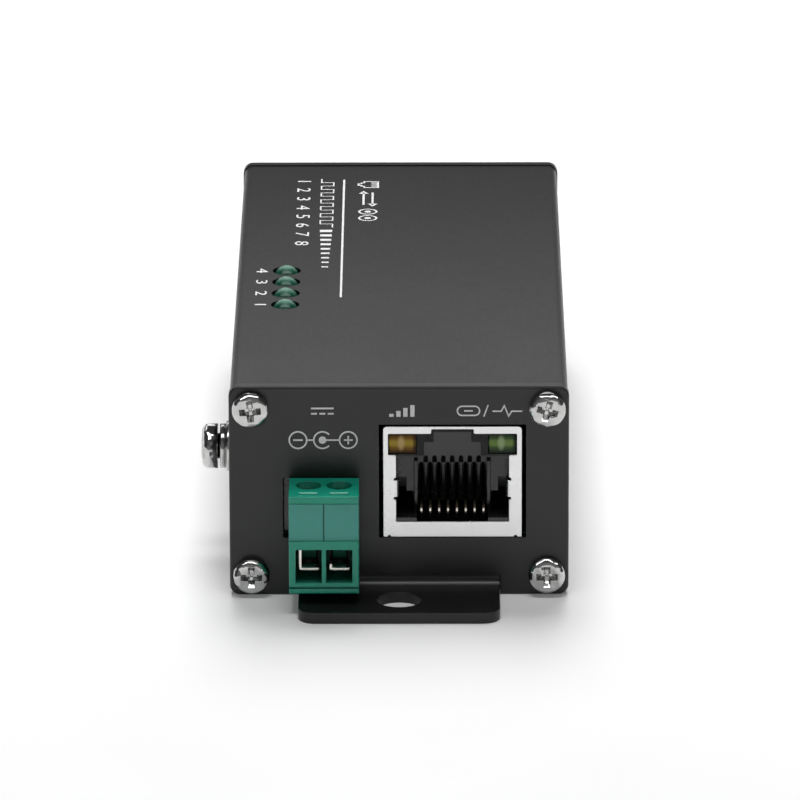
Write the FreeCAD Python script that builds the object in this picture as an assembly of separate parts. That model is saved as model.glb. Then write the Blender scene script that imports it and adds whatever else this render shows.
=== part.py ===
import FreeCAD, Part
import math
import os

# Fibre media converter: an extruded aluminium box between two bent end plates.
# Millimetres. +Z is up, -Y is the copper and power end, +Y the fibre end. The
# origin is the middle of the base, on the plane that the mounting ears stand on.

V = FreeCAD.Vector

# ---- case -------------------------------------------------------------------
case_width = 39.0
case_height = 25.2
case_length = 90.0
plate_t = 1.3
plate_corner_r = 1.2
plate_rim_r = 0.25
plate_lip = 0.13
wall_t = 1.5
# how far a cutting tool runs past the faces that it cuts
overrun = 1.0

# ---- mounting ears (bent from the end plates) ---------------------------------
ear_width = 23.1
ear_reach = 10.0
ear_bend_r = 1.0
ear_corner_r = 2.0
ear_hole_r = 2.6
ear_hole_reach = 5.35
relief_w = 0.08
relief_h = 2.5

# ---- plate screws: M2.5 cross-recess pan heads --------------------------------
screw_inset_x = 2.5
screw_inset_z = 2.57
screw_shank_r = 1.25
screw_length = 8.0
screw_head_r = 2.1
screw_head_h = 1.45
screw_point = 0.45
channel_wall = 0.75
plate_hole_gap = 0.15
screw_turns = (0.0, 0.0, 0.08, -0.26)

# ---- ground screw: M3 with spring washer and flat washer ----------------------
ground_reach = 16.6
ground_z = 12.6
ground_shank_r = 1.5
ground_screw_length = 5.0
ground_head_r = 2.62
ground_head_h = 1.93
ground_neck_gap = 0.28
flat_washer_r = 2.95
flat_washer_t = 0.8
spring_washer_r = 2.6
spring_washer_t = 0.72
spring_washer_split = 0.45
spring_washer_lean = 0.4
washer_bore_clearance = 0.1
washer_edge_r = 0.12
ground_recess_turn = 0.35

# ---- circuit board ------------------------------------------------------------
board_top = 7.07
board_t = 1.6
board_end_gap = 0.3
board_side_gap = 0.2
slot_rib_w = 1.2
slot_rib_t = 0.8
slot_play = 0.15
rib_root = 0.2

# ---- copper network socket ----------------------------------------------------
jack_x = 6.14
jack_width = 15.88
jack_height = 13.3
jack_depth = 16.0
shield_t = 0.25
shield_corner_r = 0.4
shield_peg_front = 8.2
shield_peg_back = 9.6
shield_peg_root = 0.5
contact_spacing = 1.02
jack_ways = 8
contact_t = 0.3
jack_cut_gap = 0.5
jack_cut_top_gap = 0.27
port_half = 6.42
port_low = 2.2
port_depth = 11.5
mouth_half = 6.5
mouth_low = 1.79
mouth_lamp_gap = 0.04
port_lamp_gap = 0.35
lamp_half_out = 7.35
lamp_half_in = 4.12
lamp_drop = 0.9
lamp_h = 2.5
lamp_depth = 7.0
lamp_edge_r = 0.25
lamp_window_gap = 0.05
latch_wide_half = 3.25
latch_wide_drop = 1.95
latch_half = 2.15
latch_drop = 0.75
mouth_notch_half = 2.45
mouth_notch_drop = 0.3
mouth_corner_r = 0.15
foot_notch_u = 7.25
foot_notch_r = 0.2
finger_low = 4.8
finger_high = 6.8
finger_depth = 3.5
finger_t = 0.2
finger_bow = 0.45
finger_bow_depth = 1.2
finger_root_inset = 0.1
finger_tail_inset = 0.05
finger_relief_r = 0.2
finger_relief_gap = 0.15
finger_pocket_gap = 0.3
finger_pocket_out = 0.35
comb_half = 4.1
comb_depth = 8.6
comb_slot_w = 0.66
comb_slot_high = 6.15
comb_pocket_w = 0.5
comb_pocket_high = 6.95
comb_pocket_depth = 1.6
comb_margin = 0.5
shoulder_half = 4.4
shoulder_depth = 6.1
shoulder_low = 5.2
shoulder_foot_w = 0.9
shoulder_foot_low = 3.5
shoulder_lap = 0.1
rail_half_in = 4.0
rail_half_out = 4.38
rail_depth = 5.0
rail_high = 7.5
wall_lap = 0.5
wire_tunnel_low = 0.7
wire_tunnel_high = 1.6
wire_exit_length = 4.6
wire_level = 1.0
wire_nose_depth = 1.25
wire_nose_low = 2.65
wire_nose_high = 3.4
wire_sweep_depth = 2.3
wire_kink_depth = 1.9
wire_kink_height = 3.75
wire_tip_depth = 10.2
wire_tip_height = 5.6
wire_row_reach = (3.6, 1.8)

# ---- pluggable power terminal -------------------------------------------------
plug_x = -8.58
pole_spacing = 3.5
plug_width = 8.0
plug_low = 2.57
plug_high = 14.31
plug_reach = 7.0
plug_seat_gap = 0.3
header_width = 8.75
header_x = -8.88
header_height = 7.03
header_depth = 6.8
header_set_back = 2.2
header_floor_t = 1.0
nose_width = 7.0
nose_low = 8.2
nose_high = 13.0
nose_gap = 0.3
nose_length = 7.9
cutout_gap = 0.12
power_hole_left = 0.73
power_hole_right = -0.1
header_edge = 0.3
pin_size = 0.9
pin_taper = 0.8
pin_tip_set_back = 0.3
pin_drop_gap = 0.3
socket_gap = 0.3
socket_tube_start = 1.4
socket_tube_inset = 0.3
strip_t = 0.35
strip_w = 1.0
strip_end_inset = 0.1
wire_mouth_w = 3.0
wire_mouth_low = 3.85
wire_mouth_high = 7.89
mouth_wall_t = 0.7
plug_edge_r = 0.2
plug_web_behind_cage = 0.35
band_top_t = 0.84
band_mid_t = 0.98
panel_recess = 0.25
panel_split_w = 0.14
panel_split_recess = 0.4
panel_top_groove = 0.13
groove_z = 3.3
groove_w = 0.22
groove_recess = 0.35
label_rib_w = 2.1
label_rib_r = 0.24
label_rib_reach = 6.05
driver_hole_r = 1.46
driver_axis_reach = 2.92
clamp_screw_r = 1.0
clamp_head_r = 1.3
clamp_head_h = 1.3
clamp_head_top_drop = 0.7
clamp_head_gap = 0.05
clamp_web_t = 0.6
clamp_head_edge_r = 0.25
clamp_tip_gap = 0.35
clamp_slot_w = 0.4
clamp_slot_h = 0.6
cage_width = 2.3
cage_length = 3.4
cage_low = 4.6
cage_high = 9.2
cage_t = 0.32
cage_nut_t = 0.9
cage_corner_r = 0.25
cage_wall_set_back = 1.9
cage_stub_h = 0.45
busbar_z = 7.7
running_gap = 0.05
fixed_gap = 0.03

# ---- status lights ------------------------------------------------------------
light_inset_x = 6.03
light_first_reach = 31.66
light_spacing = 4.463
light_count = 4
light_r = 1.5
light_hole_r = 1.68
light_dome_drop = 0.86
light_body_h = 3.8
light_flange_r = 1.7
light_flange_h = 1.0
lead_spacing = 2.54
lead_size = 0.5
spacer_post_x = 4.2
spacer_post_y = 3.2
spacer_bar_h = 2.0

# ---- optical transceiver ------------------------------------------------------
optic_width = 25.4
optic_length = 32.0
optic_height = 11.4
optic_foot_h = 0.6
optic_foot_r = 0.9
optic_foot_inset = 1.6
optic_corner_r = 0.6
optic_top_edge = 0.4
optic_plate_gap = 0.2
fibre_spacing = 12.7
barrel_flange_r = 4.7
barrel_flange_t = 2.4
barrel_spigot_r = 4.05
barrel_spigot_length = 1.95
barrel_tip_edge = 0.3
barrel_pocket_gap = 0.05
barrel_r = 4.0
barrel_reach = 9.5
barrel_bore_r = 2.5
barrel_bore_depth = 6.5
barrel_key_w = 1.2
barrel_key_depth = 4.6
barrel_lug_r = 0.95
barrel_lug_reach = 0.9
barrel_lug_back = 2.6
barrel_hole_gap = 0.15
sleeve_r = 1.6
sleeve_bore_r = 1.25
sleeve_length = 10.0
sleeve_seat_depth = 1.9
optic_pin_count = 9
optic_pin_spacing = 2.54
optic_pin_r = 0.23
optic_pin_inset = 2.6

# ---- parts soldered to the board ----------------------------------------------
pin_stick_out = 1.2
peg_stick_out = 0.8
pin_hole_gap = 0.1
lead_t = 0.25
lead_foot = 0.9
lead_lap = 0.3
can_edge_r = 0.4
crystal_end_gap = 0.05
inductor_corner = 1.2
can_base_h = 0.9
can_base_margin = 0.15
can_base_corner = 1.0
can_gap = 0.1
moulded_edge = 0.25
chip_edge = 0.15
transformer_lead_count = 12
converter_lead_count = 16
regulator_lead_count = 4
transformer = {"x": 7.6, "y": -19.5, "w": 15.1, "l": 9.4, "h": 5.6}
converter = {"x": 7.6, "y": -3.6, "w": 12.0, "l": 12.0, "h": 1.4}
crystal = {"x": -6.5, "y": -0.8, "w": 4.7, "l": 11.4, "h": 3.5}
inductor = {"x": -9.3, "y": -19.6, "w": 7.3, "l": 7.3, "h": 4.0}
regulator = {"x": -2.7, "y": -24.0, "w": 5.0, "l": 4.0, "h": 1.5}
diode = {"x": -3.6, "y": -32.6, "w": 2.6, "l": 4.3, "h": 2.2}
capacitor_in = {"x": -9.5, "y": -28.4, "r": 4.0, "h": 10.0}
capacitor_out = {"x": -3.6, "y": -12.2, "r": 3.15, "h": 7.7}

# ---- values worked out from the sizes above -----------------------------------
screw_x = case_width / 2 - screw_inset_x
light_x = light_inset_x - case_width / 2
lamp_high = jack_height - lamp_drop
lamp_low = lamp_high - lamp_h
mouth_high = lamp_low - mouth_lamp_gap
port_high = lamp_low - port_lamp_gap
latch_top = jack_height - latch_drop
latch_wide_top = jack_height - latch_wide_drop
mouth_notch_top = jack_height - mouth_notch_drop
front_y = -case_length / 2
rear_y = case_length / 2
shell_front_y = front_y + plate_t
shell_rear_y = rear_y - plate_t
shell_half_w = case_width / 2 - plate_lip
shell_low = plate_lip
shell_high = case_height - plate_lip
inner_half_w = shell_half_w - wall_t
channel_r = screw_shank_r + channel_wall
board_low = board_top - board_t
screw_zs = (screw_inset_z, case_height - screw_inset_z)
plate_hole_r = screw_shank_r + plate_hole_gap
plug_front_y = front_y - plug_reach
plug_back_y = front_y - plug_seat_gap
header_front_y = front_y + header_set_back
header_back_y = header_front_y + header_depth
header_top = board_top + header_height
pole_xs = (plug_x - pole_spacing / 2, plug_x + pole_spacing / 2)
driver_y = front_y - driver_axis_reach
cage_front_y = driver_y - cage_length / 2
cage_back_y = driver_y + cage_length / 2
socket_z = (nose_low + nose_high) / 2
socket_half = pin_size / 2 + socket_gap
web_front_y = cage_back_y + plug_web_behind_cage
light_ys = [front_y + light_first_reach + i * light_spacing for i in range(light_count)]
light_dome_z = shell_high - light_dome_drop
light_base_z = light_dome_z - light_body_h
ground_y = front_y + ground_reach
optic_low = board_top + optic_foot_h
optic_rear_y = shell_rear_y - optic_plate_gap
fibre_z = optic_low + optic_height / 2
fibre_xs = (-fibre_spacing / 2, fibre_spacing / 2)


# ---- small helpers ------------------------------------------------------------
def block(x0, x1, y0, y1, z0, z1):
    return Part.makeBox(x1 - x0, y1 - y0, z1 - z0, V(x0, y0, z0))


def rod(r, start, direction, length):
    return Part.makeCylinder(r, length, V(*start), V(*direction))


def extrude_points(points, direction):
    wire = Part.makePolygon([V(*p) for p in points] + [V(*points[0])])
    return Part.Face(wire).extrude(V(*direction))


def edges_along(shape, axis, keep):
    """Straight edges that run along the axis and whose middle passes keep."""
    found = []
    for edge in shape.Edges:
        if edge.Curve.TypeId != "Part::GeomLine":
            continue
        run = edge.Vertexes[1].Point - edge.Vertexes[0].Point
        if abs(abs(run.normalize().dot(V(*axis))) - 1) < 1e-6 and keep(edge.CenterOfMass):
            found.append(edge)
    return found


def edges_in_plane(shape, axis_index, value, keep):
    """Edges that lie wholly in the plane where one coordinate has this value."""
    found = []
    for edge in shape.Edges:
        low = (edge.BoundBox.XMin, edge.BoundBox.YMin, edge.BoundBox.ZMin)[axis_index]
        high = (edge.BoundBox.XMax, edge.BoundBox.YMax, edge.BoundBox.ZMax)[axis_index]
        if abs(low - value) < 1e-4 and abs(high - value) < 1e-4 and keep(edge.CenterOfMass):
            found.append(edge)
    return found


def every(_point):
    return True


def joined(shapes):
    result = shapes[0]
    for shape in shapes[1:]:
        result = result.fuse(shape)
    return result.removeSplitter()


def group(shapes):
    return Part.makeCompound(shapes)


def mirrored_ends(shape):
    return shape.mirror(V(0, 0, 0), V(0, 1, 0))


# ---- screws ---------------------------------------------------------------------
def oblong(half_x, half_y, z):
    corners = [(-half_x, -half_y), (half_x, -half_y), (half_x, half_y), (-half_x, half_y)]
    return Part.makePolygon([V(x, y, z) for x, y in corners + corners[:1]])


def cross_recess(r, depth):
    """Tapered cross-recess cutter for a head whose top is z = 0, pointing down."""
    wing = 0.31 * r
    root = 0.13 * r
    tip = 0.45 * r
    above = 0.1 * r
    blade = Part.makeLoft([oblong(r, wing, above), oblong(tip, root, -depth)], True, True)
    other = blade.copy()
    other.rotate(V(0, 0, 0), V(0, 0, 1), 90)
    pit = Part.makeCone(tip, above, 1.15 * depth, V(0, 0, 0), V(0, 0, -1))
    return joined([blade, other, pit])


def pan_head(r, height):
    """Pan head standing on z = 0: straight rim, rounded shoulder, slightly domed top."""
    crown = 0.1 * height
    ball_r = (r * r + crown * crown) / (2 * crown)
    ball = Part.makeSphere(ball_r, V(0, 0, height - ball_r))
    head = Part.makeCylinder(r, height).common(ball)
    shoulder = [e for e in head.Edges if e.BoundBox.ZMin > height / 2 and e.BoundBox.XLength > r]
    return head.makeFillet(0.47 * height, shoulder)


def machine_screw(shank_r, length, head_r, head_h, turn):
    """Screw on the z axis: head above z = 0, shank below; turn is the recess angle."""
    head = pan_head(head_r, head_h)
    shank = Part.makeCylinder(shank_r, length, V(0, 0, -length))
    tip = edges_in_plane(shank, 2, -length, every)
    shank = shank.makeChamfer(screw_point, tip)
    recess = cross_recess(0.66 * head_r, 0.62 * head_h)
    recess.rotate(V(0, 0, 0), V(0, 0, 1), math.degrees(turn))
    recess.translate(V(0, 0, head_h))
    return joined([head, shank]).cut(recess)


def placed(shape, position, axis):
    result = shape.copy()
    result.Placement = FreeCAD.Placement(V(*position), FreeCAD.Rotation(V(0, 0, 1), V(*axis)))
    return result


def plate_screws(end):
    screws = []
    spots = [(x, z) for z in screw_zs for x in (-screw_x, screw_x)]
    for (x, z), turn in zip(spots, screw_turns):
        screw = machine_screw(screw_shank_r, screw_length, screw_head_r, screw_head_h, turn)
        screws.append(placed(screw, (x, end * rear_y, z), (0, end, 0)))
    return group(screws)


# ---- case -----------------------------------------------------------------------
def housing_shell():
    length = shell_rear_y - shell_front_y
    outer = block(-shell_half_w, shell_half_w, shell_front_y, shell_rear_y, shell_low, shell_high)
    outer = outer.makeFillet(plate_corner_r - plate_lip, edges_along(outer, (0, 1, 0), every))
    inner_low = shell_low + wall_t
    inner_high = shell_high - wall_t
    inner = block(-inner_half_w, inner_half_w, shell_front_y - overrun, shell_rear_y + overrun,
                  inner_low, inner_high)
    shell = outer.cut(inner)
    added = []
    for x in (-screw_x, screw_x):
        for z in screw_zs:
            added.append(rod(channel_r, (x, shell_front_y, z), (0, 1, 0), length))
    slot_low = board_low - slot_rib_t
    slot_high = board_top + slot_play
    for side in (-1, 1):
        edge = side * (inner_half_w - slot_rib_w)
        wall = side * (inner_half_w + rib_root)
        x0, x1 = min(edge, wall), max(edge, wall)
        added.append(block(x0, x1, shell_front_y, shell_rear_y, slot_low, board_low))
        added.append(block(x0, x1, shell_front_y, shell_rear_y, slot_high, slot_high + slot_rib_t))
    # the screw channels end at the outside of the extrusion
    shell = joined([shell] + [piece.common(outer) for piece in added])
    cuts = []
    for x in (-screw_x, screw_x):
        for z in screw_zs:
            cuts.append(rod(screw_shank_r + fixed_gap, (x, shell_front_y - overrun, z), (0, 1, 0),
                            length + 2 * overrun))
    for y in light_ys:
        start_z = light_base_z + light_flange_h
        cuts.append(rod(light_hole_r, (light_x, y, start_z), (0, 0, 1), shell_high - start_z + overrun))
    ground_hole_r = ground_shank_r + running_gap
    cuts.append(rod(ground_hole_r, (-shell_half_w - overrun, ground_y, ground_z), (1, 0, 0),
                    wall_t + 2 * overrun))
    return shell.cut(cuts)


def end_plate_blank():
    """Front end plate with its ear, before the cut-outs of either end."""
    half_w = case_width / 2
    sheet = block(-half_w, half_w, front_y, shell_front_y, 0, case_height)
    sheet = sheet.makeFillet(plate_corner_r, edges_along(sheet, (0, 1, 0), every))
    sheet = sheet.makeFillet(plate_rim_r, edges_in_plane(sheet, 1, front_y, every))
    outer_r = ear_bend_r + plate_t
    half_ear = ear_width / 2
    sheet = sheet.cut(block(-half_ear - relief_w, half_ear + relief_w, front_y - overrun,
                            shell_front_y + overrun, -overrun, relief_h))
    bend_y = shell_front_y - outer_r
    tip_y = front_y - ear_reach
    s = math.sqrt(0.5)

    def on_bend(radius):
        return V(-half_ear, bend_y + radius * s, outer_r - radius * s)

    x = -half_ear
    section = [
        Part.LineSegment(V(x, tip_y, 0), V(x, bend_y, 0)),
        Part.Arc(V(x, bend_y, 0), on_bend(outer_r), V(x, shell_front_y, outer_r)),
        Part.LineSegment(V(x, shell_front_y, outer_r), V(x, shell_front_y, relief_h)),
        Part.LineSegment(V(x, shell_front_y, relief_h), V(x, front_y, relief_h)),
        Part.LineSegment(V(x, front_y, relief_h), V(x, front_y, outer_r)),
        Part.Arc(V(x, front_y, outer_r), on_bend(ear_bend_r), V(x, bend_y, plate_t)),
        Part.LineSegment(V(x, bend_y, plate_t), V(x, tip_y, plate_t)),
        Part.LineSegment(V(x, tip_y, plate_t), V(x, tip_y, 0)),
    ]
    ear = Part.Face(Part.Wire([piece.toShape() for piece in section])).extrude(V(ear_width, 0, 0))
    ear = ear.makeFillet(ear_corner_r, edges_along(ear, (0, 0, 1), lambda p: abs(p.y - tip_y) < 0.01))
    plate = joined([sheet, ear])
    through = plate_t + 2 * overrun
    cuts = [rod(ear_hole_r, (0, front_y - ear_hole_reach, -overrun), (0, 0, 1), through)]
    for hole_x in (-screw_x, screw_x):
        for z in screw_zs:
            cuts.append(rod(plate_hole_r, (hole_x, front_y - overrun, z), (0, 1, 0), through))
    return plate.cut(cuts)


def front_end_plate():
    plate = end_plate_blank()
    half = jack_width / 2 + jack_cut_gap
    low = board_top - cutout_gap
    high = board_top + jack_height + jack_cut_top_gap
    y0, y1 = front_y - overrun, shell_front_y + overrun
    socket_hole = block(jack_x - half, jack_x + half, y0, y1, low, high)
    half_plug = plug_width / 2
    power_hole = block(plug_x - half_plug - power_hole_left, plug_x + half_plug + power_hole_right,
                       y0, y1, low, header_top + cutout_gap)
    return plate.cut([socket_hole, power_hole])


def rear_end_plate():
    plate = mirrored_ends(end_plate_blank())
    hole_r = barrel_flange_r + barrel_hole_gap
    through = plate_t + 2 * overrun
    start_y = shell_rear_y - overrun
    return plate.cut([rod(hole_r, (x, start_y, fibre_z), (0, 1, 0), through) for x in fibre_xs])


# ---- ground screw and washers ---------------------------------------------------
def washer_ring(outer_r, thickness, face_x):
    """Washer on the ground screw's axis whose inner face is at face_x."""
    bore_r = ground_shank_r + washer_bore_clearance
    centre = (face_x, ground_y, ground_z)
    disc = rod(outer_r, centre, (-1, 0, 0), thickness)
    return disc.cut(rod(bore_r, (face_x + overrun, ground_y, ground_z), (-1, 0, 0),
                        thickness + 2 * overrun))


def ground_flat_washer():
    ring = washer_ring(flat_washer_r, flat_washer_t, -shell_half_w)
    return ring.makeFillet(washer_edge_r, edges_in_plane(ring, 0, -shell_half_w - flat_washer_t, every))


def spring_washer_face():
    return -shell_half_w - flat_washer_t


def ground_spring_washer():
    ring = washer_ring(spring_washer_r, spring_washer_t, spring_washer_face())
    # a slanting split at the underside of the ring
    x = spring_washer_face() + overrun
    far = x - spring_washer_t - 2 * overrun
    y0, y1 = ground_y, ground_y + spring_washer_split
    lean = spring_washer_lean
    slit = extrude_points([(x, y0, ground_z), (x, y1, ground_z), (far, y1 + lean, ground_z),
                           (far, y0 + lean, ground_z)], (0, 0, -spring_washer_r - overrun))
    return ring.cut(slit)


def ground_head_face():
    return spring_washer_face() - spring_washer_t - ground_neck_gap


def ground_screw():
    screw = machine_screw(ground_shank_r, ground_screw_length, ground_head_r, ground_head_h,
                          ground_recess_turn)
    return placed(screw, (ground_head_face(), ground_y, ground_z), (-1, 0, 0))


# ---- copper network socket ------------------------------------------------------
def jack_block(u0, u1, d0, d1, w0, w1):
    """Box in the socket's own sizes: across, back from its face, up from the board."""
    return block(jack_x + u0, jack_x + u1, front_y + d0, front_y + d1, board_top + w0, board_top + w1)


def both_sides(u0, u1, d0, d1, w0, w1):
    return [jack_block(u0, u1, d0, d1, w0, w1), jack_block(-u1, -u0, d0, d1, w0, w1)]


def contact_us():
    middle = (jack_ways - 1) / 2
    return [(i - middle) * contact_spacing for i in range(jack_ways)]


def jack_shield():
    half = jack_width / 2
    t = shield_t
    can = jack_block(-half, half, 0, jack_depth, 0, jack_height)
    upper = edges_along(can, (0, 1, 0), lambda p: p.z > board_top + jack_height / 2)
    can = can.makeFillet(shield_corner_r, upper)
    can = can.cut(jack_block(-half + t, half - t, t, jack_depth - t, -overrun, jack_height - t))
    window = lamp_half_out + lamp_window_gap
    mouth = joined([
        jack_block(-mouth_half, mouth_half, -overrun, overrun, mouth_low, mouth_high),
        jack_block(-window, window, -overrun, overrun, mouth_high, lamp_high + lamp_window_gap),
        jack_block(-mouth_notch_half, mouth_notch_half, -overrun, overrun, lamp_high, mouth_notch_top),
    ])
    mouth = mouth.removeSplitter()
    mouth = mouth.makeFillet(mouth_corner_r, edges_along(mouth, (0, 1, 0), every))
    can = can.cut(mouth)
    reliefs = [rod(foot_notch_r, (jack_x + side * foot_notch_u, front_y - overrun, board_top),
                   (0, 1, 0), overrun + 2 * t) for side in (-1, 1)]
    for side in (-1, 1):
        for w in (finger_low - finger_relief_gap, finger_high + finger_relief_gap):
            spot = (jack_x + side * (mouth_half + finger_tail_inset), front_y - overrun, board_top + w)
            reliefs.append(rod(finger_relief_r, spot, (0, 1, 0), overrun + 2 * t))
    can = can.cut(reliefs)
    extras = []
    for side in (-1, 1):
        # earthing fingers folded back into the mouth
        root = mouth_half + finger_root_inset
        bow = root - finger_bow
        tail = mouth_half - finger_tail_inset
        line = [(root, 0), (root - 0.5 * finger_bow, 0.07), (root - 0.8 * finger_bow, 0.25),
                (root - 0.95 * finger_bow, 0.55), (bow, finger_bow_depth), (tail, finger_depth)]
        back = [(u + finger_t, d) for u, d in reversed(line)]
        spots = [(jack_x + side * u, front_y + d, board_top + finger_low) for u, d in line + back]
        extras.append(extrude_points(spots, (0, 0, finger_high - finger_low)))
        # solder pegs
        edge = side * (half - t / 2)
        extras.append(jack_block(edge - t / 2, edge + t / 2, shield_peg_front, shield_peg_back,
                                 -board_t - peg_stick_out, shield_peg_root))
    return joined([can] + extras)


def jack_housing():
    half = jack_width / 2 - shield_t - fixed_gap
    top = jack_height - shield_t - fixed_gap
    front = shield_t + fixed_gap
    back = jack_depth - shield_t - fixed_gap
    body = jack_block(-half, half, front, back, 0, top)
    cuts = [
        jack_block(-port_half, port_half, 0, port_depth, port_low, port_high),
        jack_block(-latch_wide_half, latch_wide_half, 0, comb_depth, port_low, latch_wide_top),
        jack_block(-latch_half, latch_half, 0, comb_depth, port_low, latch_top),
        # tunnel under the port for the contact wires
        jack_block(-comb_half, comb_half, 0, back + overrun, wire_tunnel_low, wire_tunnel_high),
        jack_block(-comb_half, comb_half, 0, port_depth, wire_tunnel_low, port_high),
        jack_block(-comb_half, comb_half, back - wire_exit_length, back + overrun, -overrun,
                   wire_tunnel_high),
    ]
    # room for the lights and for the shield's earthing fingers
    cuts += both_sides(lamp_half_in - fixed_gap, lamp_half_out + fixed_gap, 0, lamp_depth + overrun,
                       lamp_low - fixed_gap, lamp_high + fixed_gap)
    room = finger_pocket_gap
    cuts += both_sides(latch_half, mouth_half + finger_pocket_out, 0, finger_depth + room,
                       finger_low - room, finger_high + room)
    body = body.cut(cuts)
    half_comb = comb_half + comb_margin
    deep = port_depth + wall_lap
    added = [jack_block(-half_comb, half_comb, comb_depth, deep, port_low, port_high + shoulder_lap)]
    added += both_sides(shoulder_half, port_half + wall_lap, shoulder_depth, deep, shoulder_low,
                        port_high + shoulder_lap)
    added += both_sides(shoulder_half, shoulder_half + shoulder_foot_w, shoulder_depth, deep,
                        shoulder_foot_low, shoulder_low + shoulder_lap)
    added += both_sides(rail_half_in, rail_half_out, rail_depth, deep, port_low - shoulder_lap,
                        rail_high)
    body = joined([body] + added)
    slots = []
    arch = comb_slot_w / 2
    rise = comb_slot_high - arch
    start = comb_depth - comb_margin
    for u in contact_us():
        slots.append(jack_block(u - arch, u + arch, start, port_depth, wire_tunnel_high, rise))
        slots.append(rod(arch, (jack_x + u, front_y + start, board_top + rise), (0, 1, 0),
                         port_depth - start))
    # arched pockets above the ribs between the slots
    arch = comb_pocket_w / 2
    rise = comb_pocket_high - arch
    for u in contact_us()[1:]:
        u -= contact_spacing / 2
        end = comb_depth + comb_pocket_depth
        slots.append(jack_block(u - arch, u + arch, start, end, comb_slot_high, rise))
        slots.append(rod(arch, (jack_x + u, front_y + start, board_top + rise), (0, 1, 0), end - start))
    return body.cut(slots)


def contact_wire(u, tail_d):
    """One spring wire: up through the board, forward under the port, back up the comb."""
    t = contact_t
    low = wire_level
    nose = wire_nose_depth
    kink_d, kink_w = wire_kink_depth, wire_kink_height
    tip_d, tip_w = wire_tip_depth, wire_tip_height
    tail_w = -board_t - peg_stick_out
    path = [
        (tail_d, tail_w), (tail_d, low), (wire_sweep_depth, low), (nose, wire_nose_low),
        (nose, wire_nose_high), (kink_d, kink_w + t / 2), (tip_d, tip_w), (tip_d, tip_w - t),
        (kink_d + t / 2, kink_w - t / 2), (nose + t, wire_nose_high - t), (nose + t, wire_nose_low + t / 3),
        (wire_sweep_depth + t / 2, low + t), (tail_d + t, low + t), (tail_d + t, tail_w),
    ]
    left = jack_x + u - t / 2
    return extrude_points([(left, front_y + d, board_top + w) for d, w in path], (t, 0, 0))


def contact_tails():
    """Across and back position of each contact's tail: two staggered rows."""
    back = jack_depth - shield_t
    return [(u, back - wire_row_reach[i % 2]) for i, u in enumerate(contact_us())]


def jack_contacts():
    return group([contact_wire(u, tail_d) for u, tail_d in contact_tails()])


def jack_lamp(side):
    u0, u1 = sorted((side * lamp_half_in, side * lamp_half_out))
    lamp = jack_block(u0, u1, shield_t + fixed_gap, lamp_depth, lamp_low, lamp_high)
    face = edges_in_plane(lamp, 1, front_y + shield_t + fixed_gap, every)
    return lamp.makeFillet(lamp_edge_r, face)


# ---- pluggable power terminal -----------------------------------------------------
def power_header():
    left = header_x - header_width / 2
    right = header_x + header_width / 2
    body = block(left, right, header_front_y, header_back_y, board_top, header_top)
    half = nose_width / 2 + nose_gap
    cavity = block(plug_x - half, plug_x + half, header_front_y - overrun, header_back_y - header_floor_t,
                   nose_low - nose_gap, nose_high + nose_gap)
    body = body.cut(cavity)
    upper = edges_along(body, (0, 1, 0), lambda p: p.z > header_top - header_edge)
    body = body.makeChamfer(header_edge, upper)
    half_pin = pin_size / 2 + fixed_gap
    holes = []
    for x in pole_xs:
        holes.append(block(x - half_pin, x + half_pin, header_back_y - header_floor_t - overrun,
                           header_back_y + overrun, socket_z - half_pin, socket_z + half_pin))
    return body.cut(holes)


def power_header_pins():
    """Square pins, bent down through the board behind the header."""
    s = pin_size
    pins = []
    for x in pole_xs:
        tip_y = header_front_y + pin_tip_set_back
        back_y = header_back_y + pin_drop_gap
        low = board_low - pin_stick_out
        path = [
            (tip_y, socket_z - s / 4), (tip_y, socket_z + s / 4), (tip_y + pin_taper, socket_z + s / 2),
            (back_y + s, socket_z + s / 2), (back_y + s, low), (back_y, low),
            (back_y, socket_z - s / 2), (tip_y + pin_taper, socket_z - s / 2),
        ]
        pins.append(extrude_points([(x - s / 2, y, z) for y, z in path], (s, 0, 0)))
    return group(pins)


def plug_contact_outline(grow):
    """Side outline of one pole's metal: clamp bar, riser and floor of the pin socket."""
    t = strip_t
    bar_low = busbar_z
    floor_high = socket_z - socket_half
    riser = web_front_y
    start = cage_front_y + strip_end_inset
    nose_tip = plug_back_y + nose_length - socket_tube_inset
    return [
        (start - grow, bar_low - grow), (riser + t + grow, bar_low - grow),
        (riser + t + grow, floor_high - t - grow), (nose_tip + grow, floor_high - t - grow),
        (nose_tip + grow, floor_high + grow), (riser - grow, floor_high + grow),
        (riser - grow, bar_low + t + grow), (start - grow, bar_low + t + grow),
    ]


def plug_contact(x):
    t = strip_t
    strip_half = strip_w / 2
    strip = extrude_points([(x - strip_half, y, z) for y, z in plug_contact_outline(0)],
                           (2 * strip_half, 0, 0))
    outer = socket_half + t
    y0 = web_front_y
    y1 = plug_back_y + nose_length - socket_tube_inset
    box = block(x - outer, x + outer, y0 + socket_tube_start, y1, socket_z - outer, socket_z + outer)
    bore = block(x - socket_half, x + socket_half, y0, y1 + overrun, socket_z - socket_half,
                 socket_z + socket_half)
    return joined([strip, box]).cut(bore)


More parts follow.
